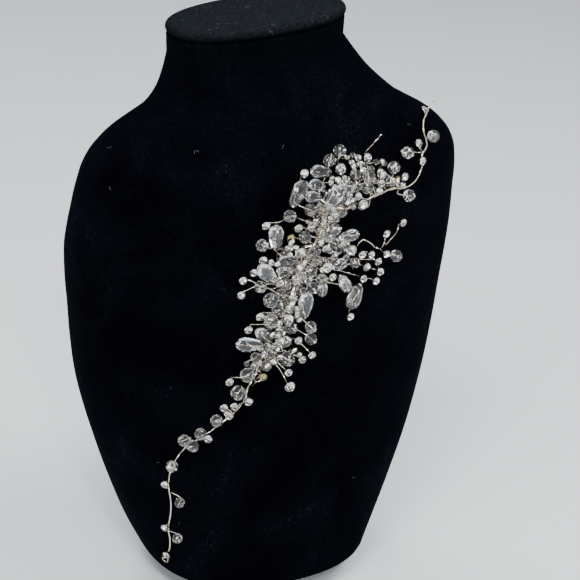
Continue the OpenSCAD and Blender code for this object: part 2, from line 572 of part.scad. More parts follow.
bust_foot();
bust_body();
neck_cap();
main_wire();
for (s = SPRAYS) {
  spray_twigs(s[0]);
  spray_crystals(s[0]);
  spray_cups(s[0]);
  spray_stones(s[0]);
  for (k = [1 : 1 : drop_count(s[0])])
    spray_drop(s[0], k);
}
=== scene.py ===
import math
import random

import bpy
import bmesh
from mathutils import Matrix, Vector
from mathutils.bvhtree import BVHTree


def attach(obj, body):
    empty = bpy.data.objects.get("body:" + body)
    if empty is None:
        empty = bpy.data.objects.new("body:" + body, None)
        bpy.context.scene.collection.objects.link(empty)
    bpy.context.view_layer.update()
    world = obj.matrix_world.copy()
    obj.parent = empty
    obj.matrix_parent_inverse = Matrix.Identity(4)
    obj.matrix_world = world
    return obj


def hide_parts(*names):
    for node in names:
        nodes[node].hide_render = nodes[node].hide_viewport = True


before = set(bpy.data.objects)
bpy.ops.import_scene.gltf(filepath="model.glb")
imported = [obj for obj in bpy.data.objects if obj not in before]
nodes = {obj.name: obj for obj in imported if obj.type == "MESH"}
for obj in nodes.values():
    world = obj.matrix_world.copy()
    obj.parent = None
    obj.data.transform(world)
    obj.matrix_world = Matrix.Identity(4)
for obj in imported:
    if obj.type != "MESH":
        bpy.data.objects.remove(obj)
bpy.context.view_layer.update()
MM = 0.001

# Body of the bust: a hollow moulded form drawn over with black cotton velvet.
# The pile stands about half a millimetre and shows soft brushed patches.
BODY_TURNS = 4
BODY_RISES = 4
BODY_EDGE = 1.4 * MM
# Rings are counted from this far round, clear of a point that lies on X
RING_START = 0.08
# Creases over this angle stay sharp
SHARP_TURN = math.radians(50)
# Points this near are one point, edges this level are level, a face whose
# normal has this much of Z is flat, and no length under the last is divided by
SAME_POINT = 0.002 * MM
SAME_LEVEL = 0.01 * MM
FLAT = 0.95
TINY = 1e-7
VELVET_DARK = "#010103"
VELVET_LIT = "#040509"
VELVET_GLEAM = "#3a4680"
BODY_SHEEN = 0.014
DUST_GREY = "#111316"
PILE_BUMP = 0.4 * MM
# Pattern sizes in mm. Real nap and dust are finer than the view shows, so they
# are drawn as coarse as they need to be to show.
BRUSHED_SIZE = 34
FIBRE_SIZE = 1.6
NAP_SIZE = 0.35
DUST_SIZE = 1.1


def linear(colour):
    """sRGB hex to linear."""
    parts = [int(colour[i:i + 2], 16) / 255 for i in (1, 3, 5)]
    return [c / 12.92 if c <= 0.04045 else ((c + 0.055) / 1.055) ** 2.4 for c in parts] + [1]


def add_node(tree, kind, inputs=None, **settings):
    """Adds a node with its settings, and its inputs as values or links."""
    node = tree.nodes.new(kind)
    for name, value in settings.items():
        setattr(node, name, value)
    for key, value in (inputs or {}).items():
        if isinstance(value, bpy.types.NodeSocket):
            tree.links.new(value, node.inputs[key])
        else:
            node.inputs[key].default_value = value
    return node


def new_material(name):
    """An empty node material, and its tree."""
    material = bpy.data.materials.new(name)
    material.use_nodes = True
    material.node_tree.nodes.clear()
    return material, material.node_tree


def per_mm(size):
    """Texture scale that repeats once in a size in millimetres."""
    return 1000 / size


def velvet(name, dark, lit, sheen=0.0):
    """Cotton velvet: no gloss, brushed patches, dust, and a faint gleam where the pile is seen edge on."""
    material, tree = new_material(name)
    place = add_node(tree, "ShaderNodeTexCoord").outputs["Object"]
    brushed = add_node(tree, "ShaderNodeTexNoise", {
        "Vector": place, "Scale": per_mm(BRUSHED_SIZE), "Detail": 3, "Roughness": 0.55, "Distortion": 0.6})
    fibres = add_node(tree, "ShaderNodeTexNoise", {
        "Vector": place, "Scale": per_mm(FIBRE_SIZE), "Detail": 4, "Roughness": 0.7})
    nap = add_node(tree, "ShaderNodeTexNoise", {
        "Vector": place, "Scale": per_mm(NAP_SIZE), "Detail": 2, "Roughness": 0.6})
    patches = add_node(tree, "ShaderNodeMath", {
        0: brushed.outputs[0], 1: fibres.outputs[0]}, operation="MULTIPLY")
    tone = add_node(tree, "ShaderNodeMapRange", {
        "Value": patches.outputs[0], "From Min": 0.16, "From Max": 0.38})
    colour = add_node(tree, "ShaderNodeMix", {
        0: tone.outputs[0], 6: linear(dark), 7: linear(lit)}, data_type="RGBA")
    grain = add_node(tree, "ShaderNodeTexNoise", {
        "Vector": place, "Scale": per_mm(DUST_SIZE), "Detail": 1, "Roughness": 0.5})
    dust = add_node(tree, "ShaderNodeMath", {
        0: grain.outputs[0], 1: brushed.outputs[0]}, operation="MULTIPLY")
    specks = add_node(tree, "ShaderNodeMapRange", {
        "Value": dust.outputs[0], "From Min": 0.39, "From Max": 0.5})
    dusted = add_node(tree, "ShaderNodeMix", {
        0: specks.outputs[0], 6: colour.outputs[2], 7: linear(DUST_GREY)}, data_type="RGBA")
    height = add_node(tree, "ShaderNodeMath", {
        0: nap.outputs[0], 1: fibres.outputs[0]}, operation="ADD")
    bump = add_node(tree, "ShaderNodeBump", {
        "Height": height.outputs[0], "Strength": 0.5, "Distance": PILE_BUMP})
    cloth = add_node(tree, "ShaderNodeBsdfPrincipled", {
        "Base Color": dusted.outputs[2], "Roughness": 0.95, "Specular IOR Level": 0.008,
        "Sheen Weight": sheen, "Sheen Roughness": 0.4, "Sheen Tint": linear(VELVET_GLEAM),
        "Normal": bump.outputs[0]})
    add_node(tree, "ShaderNodeOutputMaterial", {"Surface": cloth.outputs[0]})
    return material


def welded(node):
    """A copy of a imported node's mesh with its loose triangles joined."""
    bm = bmesh.new()
    bm.from_mesh(nodes[node].data)
    bmesh.ops.remove_doubles(bm, verts=bm.verts, dist=SAME_POINT)
    bm.verts.index_update()
    bm.verts.ensure_lookup_table()
    return bm


def curve_through(points, per_span, closed=False):
    """Smooth curve through points. Each span has a whole number of steps, or steps of a length."""
    n = len(points)
    spans = n if closed else n - 1
    out = []
    for i in range(spans):
        if closed:
            p = [points[(i + k) % n] for k in (-1, 0, 1, 2)]
        else:
            before = points[i - 1] if i > 0 else 2 * points[0] - points[1]
            after = points[i + 2] if i + 2 < n else 2 * points[-1] - points[-2]
            p = [before, points[i], points[i + 1], after]
        t = [0.0]
        for a, b in zip(p, p[1:]):
            t.append(t[-1] + max((b - a).length, TINY) ** 0.5)
        steps = per_span
        if not isinstance(per_span, int):
            steps = max(1, round((p[2] - p[1]).length / per_span))
        for k in range(steps):
            x = t[1] + (t[2] - t[1]) * k / steps
            a = [p[j].lerp(p[j + 1], (x - t[j]) / (t[j + 1] - t[j])) for j in range(3)]
            b = [a[j].lerp(a[j + 1], (x - t[j]) / (t[j + 2] - t[j])) for j in range(2)]
            out.append(b[0].lerp(b[1], (x - t[1]) / (t[2] - t[1])))
    return out if closed else out + [points[-1]]


def rings_of(node):
    """Rings of a lofted node from its base up, each in order round its middle."""
    bm = welded(node)
    base = {v for f in bm.faces if f.normal.z < -FLAT for v in f.verts}
    rings, seen = [], set()
    while base:
        seen |= base
        middle = sum((v.co for v in base), Vector()) / len(base)
        turns = {v: (math.atan2(v.co.y - middle.y, v.co.x - middle.x) + RING_START) % (2 * math.pi)
                 for v in base}
        rings.append([v.co.copy() for v in sorted(base, key=turns.get)])
        base = {e.other_vert(v) for v in base for e in v.link_edges} - seen
    bm.free()
    return rings


def skin(rings, turns, rises):
    """A fine closed skin drawn smoothly through coarse level rings."""
    around = [curve_through(ring, turns, closed=True) for ring in rings]
    count = len(around[0])
    columns = [curve_through([ring[k] for ring in around], rises) for k in range(count)]
    bm = bmesh.new()
    bmesh.ops.create_grid(bm, x_segments=count, y_segments=len(columns[0]) - 1, size=1)
    bm.verts.ensure_lookup_table()
    for i, v in enumerate(bm.verts):
        v.co = columns[i % (count + 1) % count][i // (count + 1)]
    bmesh.ops.remove_doubles(bm, verts=bm.verts, dist=SAME_POINT)
    bmesh.ops.holes_fill(bm, edges=[e for e in bm.edges if e.is_boundary], sides=0)
    return bm


def as_mesh(bm, name):
    """Ends a bmesh as a mesh."""
    mesh = bpy.data.meshes.new(name)
    bm.to_mesh(mesh)
    bm.free()
    return mesh


def put_in(name, data):
    """A new object in the scene."""
    thing = bpy.data.objects.new(name, data)
    bpy.context.scene.collection.objects.link(thing)
    return thing


def shown(bm, name, materials, replaced=(), smooth=True):
    """Puts a finished mesh into the scene as a piece that rides on the stand."""
    bm.normal_update()
    mesh = as_mesh(bm, name)
    for face in mesh.polygons:
        face.use_smooth = smooth
    if smooth:
        mesh.set_sharp_from_angle(angle=SHARP_TURN)
    piece = put_in(name, mesh)
    for material in materials:
        mesh.materials.append(material)
    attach(piece, "root")
    if replaced:
        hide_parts(*replaced)


black_velvet = velvet("black_cotton_velvet", VELVET_DARK, VELVET_LIT, BODY_SHEEN)
body_rings = rings_of("bust_body")
body = skin(body_rings, BODY_TURNS, BODY_RISES)
lower_edge = [e for e in body.edges if all(v.co.z < body_rings[0][0].z + SAME_LEVEL for v in e.verts)
              and len({f.normal.z < -FLAT for f in e.link_faces}) == 2]
bmesh.ops.bevel(body, geom=lower_edge, offset=BODY_EDGE, segments=3, affect="EDGES", profile=0.5, material=-1)
bmesh.ops.recalc_face_normals(body, faces=body.faces)
velvet_face = BVHTree.FromBMesh(body)
shown(body, "velvet_body", [black_velvet], ["bust_body"])

# Cap of the neck: a padded board disc in the same velvet, pushed into the neck.
# Its rim is rubbed pale in a few places, its top face is painted lighter where light from above falls on it,
# and a stitched seam runs under it.
CAP_TURNS = 4
CAP_RISES = 5
CAP_DARK = "#010203"
CAP_LIT = "#060709"
CAP_SHEEN = 0.02
# Painted light: two tones of the top face, mixed by its pile grain, paint it lighter than the body's velvet,
# as if lit from above
CAP_TOP_PAINTED_LIGHT_LOW = "#0a0c0e"
CAP_TOP_PAINTED_LIGHT_HIGH = "#171a1d"
CAP_FACE_GRAIN = 1.2
WORN_VELVET = "#2d3033"
WORN_SIZE = 7
# The top face's painted light (a lighter tone where light from above falls) starts this far below its level,
# and is full there
PAINTED_TOP_LIGHT_DEEP = 5 * MM
PAINTED_TOP_LIGHT_FULL = 0.4 * MM
STITCH_LENGTH = 2.6 * MM
STITCH_GAP = 1.2 * MM
STITCH_THICK = 0.3 * MM
STITCH_STEP = 0.3 * MM
STITCH_RING = 1
THREAD = "#0b0d0f"
THIN_SIDES = 4


def drawn_wires(strands, thick, sides):
    """Round wires along lines, as one mesh."""
    curve = bpy.data.curves.new("wires", "CURVE")
    curve.dimensions = "3D"
    curve.bevel_depth = thick / 2
    curve.bevel_resolution = sides // 2 - 2
    curve.use_fill_caps = True
    for strand in strands:
        spline = curve.splines.new("POLY")
        spline.points.add(len(strand) - 1)
        for point, place in zip(spline.points, strand):
            point.co = (*place, 1)
    holder = put_in("wires", curve)
    bpy.context.view_layer.update()
    made = bpy.data.meshes.new_from_object(holder)
    bm = bmesh.new()
    bm.from_mesh(made)
    bpy.data.objects.remove(holder)
    bpy.data.curves.remove(curve)
    bpy.data.meshes.remove(made)
    return bm


cap_rings = rings_of("neck_cap")
right_end = max(cap_rings[-1], key=lambda p: p.x)
left_end = min(cap_rings[-1], key=lambda p: p.x)
cap_slope = (right_end.z - left_end.z) / (right_end.x - left_end.x)
cap_level = right_end.z - cap_slope * right_end.x
cap_velvet = velvet("rubbed_black_velvet_painted_top_light", CAP_DARK, CAP_LIT, CAP_SHEEN)
tree = cap_velvet.node_tree
cloth = next(n for n in tree.nodes if n.type == "BSDF_PRINCIPLED")
colour_link = cloth.inputs["Base Color"].links[0].from_socket
place = add_node(tree, "ShaderNodeTexCoord").outputs["Object"]
apart = add_node(tree, "ShaderNodeSeparateXYZ", {0: place})
level = add_node(tree, "ShaderNodeMath", {
    0: apart.outputs["X"], 1: -cap_slope, 2: apart.outputs["Z"]}, operation="MULTIPLY_ADD")
# Painted light: this mask fades the top face into its painted lighter tone; it also bounds where the worn
# spots can fall
upper = add_node(tree, "ShaderNodeMapRange", {
    "Value": level.outputs[0], "From Min": cap_level - PAINTED_TOP_LIGHT_DEEP, "From Max": cap_level - PAINTED_TOP_LIGHT_FULL})
pile = add_node(tree, "ShaderNodeTexNoise", {
    "Vector": place, "Scale": per_mm(CAP_FACE_GRAIN), "Detail": 4, "Roughness": 0.75})
pile_tone = add_node(tree, "ShaderNodeMapRange", {
    "Value": pile.outputs[0], "From Min": 0.38, "From Max": 0.64})
# Painted light: the top face's lighter tones, with the pile grain in them
painted_top_light_colour = add_node(tree, "ShaderNodeMix", {
    0: pile_tone.outputs[0], 6: linear(CAP_TOP_PAINTED_LIGHT_LOW), 7: linear(CAP_TOP_PAINTED_LIGHT_HIGH)}, data_type="RGBA")
colour_with_painted_top_light = add_node(tree, "ShaderNodeMix", {
    0: upper.outputs[0], 6: colour_link, 7: painted_top_light_colour.outputs[2]}, data_type="RGBA")
rubbed = add_node(tree, "ShaderNodeTexNoise", {
    "Vector": place, "Scale": per_mm(WORN_SIZE), "Detail": 5, "Roughness": 0.75, "Distortion": 1.2})
spots = add_node(tree, "ShaderNodeMapRange", {
    "Value": rubbed.outputs[0], "From Min": 0.6, "From Max": 0.7})
worn = add_node(tree, "ShaderNodeMath", {
    0: upper.outputs[0], 1: spots.outputs[0]}, operation="MULTIPLY")
worn_colour = add_node(tree, "ShaderNodeMix", {
    0: worn.outputs[0], 6: colour_with_painted_top_light.outputs[2], 7: linear(WORN_VELVET)}, data_type="RGBA")
tree.links.new(worn_colour.outputs[2], cloth.inputs["Base Color"])
shown(skin(cap_rings, CAP_TURNS, CAP_RISES), "velvet_cap", [cap_velvet], ["neck_cap"])

seam = curve_through(cap_rings[STITCH_RING], CAP_TURNS, closed=True)
stitches, stitch, run = [], [], 0.0
for here, there in zip(seam, seam[1:]):
    pieces = max(1, round((there - here).length / STITCH_STEP))
    for k in range(pieces):
        run += (there - here).length / pieces
        if run % (STITCH_LENGTH + STITCH_GAP) < STITCH_LENGTH:
            stitch.append(here.lerp(there, k / pieces))
        elif stitch:
            stitches += [stitch] if len(stitch) > 1 else []
            stitch = []
thread = velvet("waxed_black_thread", THREAD, CAP_LIT)
shown(drawn_wires(stitches, STITCH_THICK, THIN_SIDES), "cap_stitches", [thread])

# Foot: a board plug under the body, covered in the same velvet and glued flat.
# It stands in from the body's lower edge and carries the bust.
FOOT_RISES = 6
FOOT_EDGE = 0.8 * MM

foot = skin(rings_of("bust_foot"), BODY_TURNS, FOOT_RISES)
foot_edges = [e for e in foot.edges if abs(e.verts[0].co.z - e.verts[1].co.z) < SAME_LEVEL
              and len({abs(f.normal.z) > FLAT for f in e.link_faces}) == 2]
bmesh.ops.bevel(foot, geom=foot_edges, offset=FOOT_EDGE, segments=2, affect="EDGES", profile=0.5, material=-1)
bmesh.ops.recalc_face_normals(foot, faces=foot.faces)
shown(foot, "velvet_foot", [black_velvet], ["bust_foot"])

# Main wire: two silver-plated craft wires twisted together the length of the
# vine, closed into a small eye at its lower end.
MAIN_STRAND = 0.38 * MM
MAIN_PITCH = 2.4 * MM
MAIN_SIDES = 6
TURN_STEPS = 7
# Longer than a side of the plain wire's rings, shorter than the way between them
MAIN_LINK = 0.5 * MM
# Steps of the route that make the eye, and the last share of the run before it
EYE_STEPS = 10
LAST_SHARE = 0.999
# How much the way across counts against the way to the front, on the oval body
ACROSS = 0.5
WIRE_SILVER = "#f6ecdc"
WIRE_SHADE = "#cdbca5"
TARNISH_SIZE = 6


def plated_wire(name, bright, shade):
    """Silver-plated copper wire: bright drawn metal, faintly warm where the plating has dulled."""
    material, tree = new_material(name)
    place = add_node(tree, "ShaderNodeTexCoord").outputs["Object"]
    dull = add_node(tree, "ShaderNodeTexNoise", {
        "Vector": place, "Scale": per_mm(TARNISH_SIZE), "Detail": 3, "Roughness": 0.6})
    tone = add_node(tree, "ShaderNodeMapRange", {
        "Value": dull.outputs[0], "From Min": 0.35, "From Max": 0.7})
    colour = add_node(tree, "ShaderNodeMix", {
        0: tone.outputs[0], 6: linear(bright), 7: linear(shade)}, data_type="RGBA")
    rough = add_node(tree, "ShaderNodeMapRange", {
        "Value": dull.outputs[0], "From Min": 0.3, "From Max": 0.7, "To Min": 0.13, "To Max": 0.24})
    metal = add_node(tree, "ShaderNodeBsdfPrincipled", {
        "Base Color": colour.outputs[2], "Metallic": 1.0, "Roughness": rough.outputs[0]})
    add_node(tree, "ShaderNodeOutputMaterial", {"Surface": metal.outputs[0]})
    return material


def away(p):
    """The way out of the bust at a point, roughly."""
    return Vector((p.x * ACROSS, p.y, 0)).normalized()


def along_main(share):
    """Point of the main wire at a share of its run, and the way it runs there."""
    at = min(max(share, 0), LAST_SHARE) * run_steps
    a, b = main_line[int(at)], main_line[int(at) + 1]
    return a.lerp(b, at - int(at)), (b - a).normalized()


def beside(share, aside, lift):
    """Place beside the main wire, towards the neck, and off the velvet; and the way out there."""
    point, way = along_main(share)
    foot, out = velvet_face.find_nearest(point)[:2]
    foot, out = velvet_face.find_nearest(foot + way.cross(out).normalized() * aside)[:2]
    return foot + out * lift, out


def loose_parts(bm):
    """Vertices of each loose part, in the order of the mesh."""
    seen, parts = set(), []
    for start in bm.verts:
        if start.index in seen:
            continue
        seen.add(start.index)
        part = [start]
        for v in part:
            for e in v.link_edges:
                other = e.other_vert(v)
                if other.index not in seen:
                    seen.add(other.index)
                    part.append(other)
        parts.append(part)
    return parts


def centre_line(part, link):
    """Middles of a swept wire's rings, from one end to the other. Ring edges are shorter than link.
    Of two wires that merge it gives one way through, from an end of one to an end of the other."""
    ring_at, rings = {}, []
    for start in part:
        if start.index in ring_at:
            continue
        ring_at[start.index] = len(rings)
        ring = [start]
        for v in ring:
            for e in v.link_edges:
                other = e.other_vert(v)
                if other.index not in ring_at and e.calc_length() < link:
                    ring_at[other.index] = len(rings)
                    ring.append(other)
        rings.append(ring)
    middles = [sum((v.co for v in ring), Vector()) / len(ring) for ring in rings]
    near = [sorted({ring_at[e.other_vert(v).index] for v in ring for e in v.link_edges} - {k})
            for k, ring in enumerate(rings)]
    ends = [k for k, others in enumerate(near) if len(others) == 1]
    at = ends[0] if ends else 0
    order = [at]
    while True:
        onward = [k for k in near[order[-1]] if k not in order]
        if not onward:
            break
        order.append(onward[0])
    return [middles[k] for k in order]


def carried_frames(line):
    """Two ways square to a line at each of its points, carried on without twisting."""
    ways = [(line[min(i + 1, len(line) - 1)] - line[max(i - 1, 0)]).normalized() for i in range(len(line))]
    side = ways[0].orthogonal().normalized()
    frames = []
    for way in ways:
        side = (side - way * side.dot(way)).normalized()
        frames.append((side, way.cross(side)))
    return frames


def strands_of(line, thick, pitch, step, start=0.0):
    """Lines of the two wires that are twisted round each other along a line."""
    fine = curve_through(line, step)
    frames = carried_frames(fine)
    far, travelled = [], 0.0
    for i, p in enumerate(fine):
        travelled += (p - fine[i - 1]).length if i else 0
        far.append(travelled)
    strands = []
    for half in (0, 0.5):
        strand = []
        for p, (u, w), s in zip(fine, frames, far):
            turn = start + 2 * math.pi * (s / pitch + half)
            strand.append(p + thick / 2 * (math.cos(turn) * u + math.sin(turn) * w))
        strands.append(strand)
    return strands


silver_wire = plated_wire("silver_plated_wire", WIRE_SILVER, WIRE_SHADE)
bm = welded("main_wire")
main_line = centre_line(loose_parts(bm)[0], MAIN_LINK)
bm.free()
if main_line[0].z < main_line[-1].z:
    main_line.reverse()
run_steps = len(main_line) - 1 - EYE_STEPS
main_strands = strands_of(main_line, MAIN_STRAND, MAIN_PITCH, MAIN_PITCH / TURN_STEPS)
shown(drawn_wires(main_strands, MAIN_STRAND, MAIN_SIDES), "twisted_main_wire", [silver_wire],
      ["main_wire"])

# Twigs: thinner wires of the same kind, doubled, threaded with beads and cups
# and twisted back to the main wire.
SPRAYS = ["tip", "upper", "left_sprig", "middle", "left", "right", "right_sprig", "lower", "tail"]
TWIG_STRAND = 0.25 * MM
TWIG_PITCH = 2.3 * MM
TWIG_LINK = 0.42 * MM
# Each twig's twist starts this much on from the one before
TWIG_TURN = 1.3
# How far a twig's cut end shows past the last bead, how near its last bend is
# to that bead, and the bead's CAD corner as a share of its ground radius
END_STUB = 0.1 * MM
END_NEAR = 0.5 * MM
CRYSTAL_CORNER = 1.15


def round_form(part):
    """Middle and reach of a round form."""
    low = Vector([min(v.co[i] for v in part) for i in range(3)])
    high = Vector([max(v.co[i] for v in part) for i in range(3)])
    middle = (low + high) / 2
    return middle, max((v.co - middle).length for v in part)


def nipped(line, beads):
    """A twig's line with each end that comes straight after a round bead cut close behind that bead."""
    for end, before in ((0, 1), (-1, -2)):
        for middle, reach in beads:
            if (line[before] - middle).length < END_NEAR:
                way = (line[end] - line[before]).normalized()
                line[end] = line[before] + way * (reach / CRYSTAL_CORNER + END_STUB)
    return line


twig_lines = {}
for spray in SPRAYS:
    bm = welded(spray + "_crystals")
    beads = [round_form(part) for part in loose_parts(bm)]
    bm.free()
    bm = welded(spray + "_twigs")
    twig_lines[spray] = [nipped(centre_line(part, TWIG_LINK), beads) for part in loose_parts(bm)]
    bm.free()
    strands = []
    for k, line in enumerate(twig_lines[spray]):
        strands += strands_of(line, TWIG_STRAND, TWIG_PITCH, TWIG_PITCH / TURN_STEPS, TWIG_TURN * k)
    shown(drawn_wires(strands, TWIG_STRAND, THIN_SIDES), spray + "_twisted_twigs", [silver_wire],
          [spray + "_twigs"])

# Round crystals: fire-polished clear glass beads, ground with eight kites round
# each half and drilled through, so each shows a dark clear middle and bright edges.
CRYSTAL_SIDES = 8
# Rings of a bead of radius 1: place along its bore, half width, turn in steps
CRYSTAL_CUT = [(-0.88, 0.46, 0.5), (-0.36, 0.97, 0.0), (0.36, 0.97, 0.5), (0.88, 0.46, 0.0)]
# How far in from each edge it is softened, and the turn under which facets are one
CRYSTAL_SOFT = 0.05
FLAT_TURN = math.radians(1)
GLASS_IOR = 1.54
GLASS_CLEAR = "#fbfdfd"
CRYSTAL_CLEARNESS = 0.985
# Smears: their size in mm, and the roughness that they add
HANDLED_SIZE = 2.5
SMEARED = 0.06


def clear_glass(name, colour, clearness):
    """Clear glass, ground and fire polished: bright sharp facets, with faint smears from handling."""
    material, tree = new_material(name)
    place = add_node(tree, "ShaderNodeTexCoord").outputs["Object"]
    smears = add_node(tree, "ShaderNodeTexNoise", {
        "Vector": place, "Scale": per_mm(HANDLED_SIZE), "Detail": 3, "Roughness": 0.6})
    roughness = add_node(tree, "ShaderNodeMapRange", {
        "Value": smears.outputs[0], "From Min": 0.5, "From Max": 0.75, "To Min": 0.0, "To Max": SMEARED})
    glass = add_node(tree, "ShaderNodeBsdfPrincipled", {
        "Base Color": linear(colour), "Roughness": roughness.outputs[0], "IOR": GLASS_IOR,
        "Transmission Weight": clearness})
    add_node(tree, "ShaderNodeOutputMaterial", {"Surface": glass.outputs[0]})
    return material


def ground_rings(cut, sides):
    """Convex form along Z, ground flat between rings."""
    bm = bmesh.new()
    for place, half, shift in cut:
        ring = bmesh.ops.create_circle(bm, segments=sides, radius=half)["verts"]
        bmesh.ops.rotate(bm, verts=ring, matrix=Matrix.Rotation(2 * math.pi * shift / sides, 3, "Z"))
        bmesh.ops.translate(bm, verts=ring, vec=(0, 0, place))
    bmesh.ops.convex_hull(bm, input=bm.verts)
    bmesh.ops.delete(bm, geom=[e for e in bm.edges if not e.link_faces], context="EDGES")
    return bm


def cut_form(cut, sides, length, width, depth, softened):
    """Ground form along X, its edges softened by fire polishing."""
    bm = ground_rings(cut, sides)
    bmesh.ops.rotate(bm, verts=bm.verts, matrix=Matrix.Rotation(math.pi / 2, 3, "Y"))
    bmesh.ops.scale(bm, verts=bm.verts, vec=(length, width, depth))
    bmesh.ops.dissolve_limit(bm, angle_limit=FLAT_TURN, verts=bm.verts, edges=bm.edges)
    bmesh.ops.bevel(bm, geom=bm.edges, offset=softened, segments=1, affect="EDGES", profile=0.5, material=-1)
    bmesh.ops.recalc_face_normals(bm, faces=bm.faces)
    return as_mesh(bm, "cut_form")


def set_copy(bm, mesh, matrix):
    """Adds a copy of a mesh at a place."""
    count = len(bm.verts)
    bm.from_mesh(mesh)
    bm.verts.ensure_lookup_table()
    bmesh.ops.transform(bm, matrix=matrix, verts=bm.verts[count:])


def axes_matrix(along, out, centre, size=1.0):
    """Places a form with its X along a way and its Z towards another."""
    x = along.normalized()
    z = (out - x * out.dot(x)).normalized()
    y = z.cross(x)
    turn = Matrix((x, y, z)).transposed().to_4x4()
    return Matrix.Translation(centre) @ turn @ Matrix.Scale(size, 4)


def twig_way(p, lines):
    """The way in which the nearest twig runs past a point."""
    nearest, best = math.inf, None
    for line in lines:
        for a, b in zip(line, line[1:]):
            way = b - a
            if way.length > TINY:
                t = min(1, max(0, (p - a).dot(way) / way.length_squared))
                gap = (a + way * t - p).length
                if gap < nearest:
                    nearest, best = gap, way.normalized()
    return best


crystal_glass = clear_glass("fire_polished_glass", GLASS_CLEAR, CRYSTAL_CLEARNESS)
round_cut = cut_form(CRYSTAL_CUT, CRYSTAL_SIDES, 1, 1, 1, CRYSTAL_SOFT)
taken = []
for spray in SPRAYS:
    source = welded(spray + "_crystals")
    beads = bmesh.new()
    for part in loose_parts(source):
        centre, reach = round_form(part)
        radius = reach / CRYSTAL_CORNER
        way = twig_way(centre, twig_lines[spray])
        set_copy(beads, round_cut, axes_matrix(way, away(centre), centre, radius))
        taken.append((centre, radius))
    source.free()
    shown(beads, spray + "_round_crystals", [crystal_glass], [spray + "_crystals"], smooth=False)

# Drops: pressed and ground glass petals, flat to the velvet, with long facets
# from the drilled narrow end to the shoulder and short ones over the wide end.
DROP_SIDES = 10
# Rings of a drop of length and width 1: place, half width, turn in steps
DROP_CUT = [(-0.5, 0.15, 0.0), (-0.38, 0.33, 0.0), (0.02, 0.49, 0.0), (0.24, 0.495, 0.5),
            (0.41, 0.37, 0.0), (0.5, 0.18, 0.5)]
DROP_SOFT = 0.11 * MM
# How much fuller it is than the plain form it stands for
DROP_FULL = 1.02
# Round places in a drop that the fill keeps clear of: along it, and how wide
DROP_KEPT = (-0.25, 0.1, 0.35)
DROP_KEPT_WIDE = 0.45
# The search for a form's long way: where it starts, and its steps
WAY_START = Vector((0.31, 0.52, 0.79))
WAY_STEPS = 60


def spread_about(middle, points):
    """How far weighed points lie out from a middle, each way, as a matrix."""
    spread = Matrix.Diagonal((0, 0, 0))
    for weight, point in points:
        d = (point - middle) / MM
        for i in range(3):
            for j in range(3):
                spread[i][j] += weight * d[i] * d[j]
    return spread


def main_ways(bm):
    """Middle of a form and its long, broad and flat ways, weighed by area."""
    bmesh.ops.triangulate(bm, faces=bm.faces)
    faces = [(f.calc_area(), f.calc_center_median()) for f in bm.faces]
    total = sum(area for area, _ in faces)
    middle = sum((area * c for area, c in faces), Vector()) / total
    spread = spread_about(middle, [(area / total, c) for area, c in faces])
    ways = []
    for _ in range(2):
        way = WAY_START
        for _ in range(WAY_STEPS):
            for other in ways:
                way = way - other * way.dot(other)
            way = (spread @ way).normalized()
        ways.append(way)
    return middle, ways[0], ways[1], ways[0].cross(ways[1])


for name in sorted(n for n in nodes if "_drop_" in n):
    source = welded(name)
    middle, along, broad, flat = main_ways(source)
    if flat.dot(away(middle)) < 0:
        flat = -flat
    places = [(v.co - middle).dot(along) for v in source.verts]
    if max(places) > -min(places):
        along, places = -along, [-p for p in places]
    length = max(places) - min(places)
    centre = middle + along * (max(places) + min(places)) / 2
    width = 2 * max(abs((v.co - middle).dot(broad)) for v in source.verts)
    depth = 2 * max(abs((v.co - middle).dot(flat)) for v in source.verts)
    source.free()
    drop = bmesh.new()
    cut = cut_form(DROP_CUT, DROP_SIDES, length, width * DROP_FULL, depth * DROP_FULL, DROP_SOFT)
    set_copy(drop, cut, axes_matrix(along, flat, centre))
    taken += [(centre + along * length * k, width * DROP_KEPT_WIDE) for k in DROP_KEPT]
    shown(drop, name + "_petal", [crystal_glass], [name], smooth=False)

# Rhinestones: small cut glass chatons with a silvered foil back, each pinched
# in a stamped silver-plated cup with a fine notched rim.
STONE_SIDES = 8
# A stone of radius 1: table, crown, girdle and a pointed pavilion, foiled below
STONE_CUT = [(0.44, 0.5, 0.5), (0.26, 0.8, 0.0), (0.03, 1.0, 0.5), (-0.05, 1.0, 0.5),
             (-0.34, 0.62, 0.0), (-0.66, 0.06, 0.5)]
FOILED_BELOW = -0.07
STONE_CLEAR = "#fdfdfb"
FOIL_SILVER = "#f2f2ee"
FOIL_GOLD = "#d3c595"
FOIL_GRAIN = 0.8
# A cup of radius 1 and height 1: its turned wall with a rolled lip, out and up
CUP_WALL = [(0.02, 0.0), (0.5, 0.0), (0.76, 0.22), (0.92, 0.62), (0.99, 0.92), (0.97, 1.02),
            (0.92, 0.96), (0.84, 0.5)]
CUP_SIDES = 16
CUP_WELD = 1e-4
# Every other point of the rim, above the first value, is raised and drawn in
CUP_RIM = 0.9
NOTCH_RISE = 0.1
NOTCH_IN = 0.95
CUP_SILVER = "#dcdad4"
CUP_SHADE = "#a9a59b"
# The stone's girdle in the cup: share of the cup's height, and of its radius
STONE_SEAT = 0.98
STONE_FILLS = 0.92
# Each cup is turned on a little from the one before, from this way
STONE_TURN = 0.7
SPIN_WAY = Vector((0.3, 0.1, 1))
# Steps of the search for the way a cup faces
FACING_STEPS = 41
# Stones with a gold foil: share of the main wire and mm aside
GOLD_BACKED = [(0.278, 1), (0.386, 14), (0.375, -42), (0.597, -3)]
GOLD_REACH = 3.6 * MM


